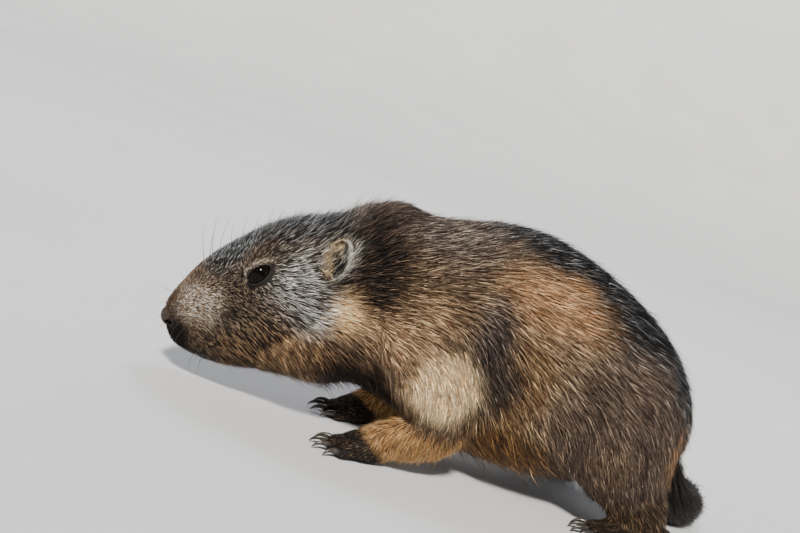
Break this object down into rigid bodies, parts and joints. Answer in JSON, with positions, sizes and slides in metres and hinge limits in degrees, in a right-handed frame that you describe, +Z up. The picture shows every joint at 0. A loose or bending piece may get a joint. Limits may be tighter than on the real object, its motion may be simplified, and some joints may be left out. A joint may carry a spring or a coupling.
{
  "type": "alpine marmot museum model",
  "caption": "Life-size still model of an alpine marmot on all fours, nose near the ground, back arched, bushy tail dropped to the floor and curled to the right.",
  "frame": {"origin": "middle of the footprint, on the floor that the soles rest on", "axes": "+Z up, +X from the head to the tail, so the head is at -X; +Y is the animal's right side"},
  "size_m": [0.441, 0.1778, 0.1702],
  "materials": {
    "fur_body": "dense coarse coat, grizzled brown and buff, matt with a soft sheen",
    "fur_face": "short grizzled grey-brown fur",
    "fur_cream": "soft cream fur of the upper arm",
    "fur_ochre": "orange-ochre fur of the forearm",
    "fur_tail": "long blackish-brown brush",
    "fur_paw": "short dark fur over leathery soles",
    "eye_black": "wet, polished",
    "nose_skin": "fine-grained bare skin",
    "claw_horn": "dark horn, worn at the tips"
  },
  "bodies": {
    "root": {"head": "fur_face", "neck": "fur_body", "torso": "fur_body", "tail_base": "fur_tail", "tail_brush": "fur_tail", "nose": "nose_skin", "ear_left": "fur_face", "eye_left": "eye_black", "upper_arm_left": "fur_cream", "forearm_left": "fur_ochre", "forepaw_left": "fur_paw", "thigh_left": "fur_body", "shank_left": "fur_body", "hindpaw_left": "fur_paw", "claw_forepaw_left_1": "claw_horn", "claw_forepaw_left_2": "claw_horn", "claw_forepaw_left_3": "claw_horn", "claw_forepaw_left_4": "claw_horn", "claw_hindpaw_left_1": "claw_horn", "claw_hindpaw_left_2": "claw_horn", "claw_hindpaw_left_3": "claw_horn", "claw_hindpaw_left_4": "claw_horn", "claw_hindpaw_left_5": "claw_horn", "ear_right": "fur_face", "eye_right": "eye_black", "upper_arm_right": "fur_cream", "forearm_right": "fur_ochre", "forepaw_right": "fur_paw", "thigh_right": "fur_body", "shank_right": "fur_body", "hindpaw_right": "fur_paw", "claw_forepaw_right_1": "claw_horn", "claw_forepaw_right_2": "claw_horn", "claw_forepaw_right_3": "claw_horn", "claw_forepaw_right_4": "claw_horn", "claw_hindpaw_right_1": "claw_horn", "claw_hindpaw_right_2": "claw_horn", "claw_hindpaw_right_3": "claw_horn", "claw_hindpaw_right_4": "claw_horn", "claw_hindpaw_right_5": "claw_horn"}
  },
  "joints": []
}
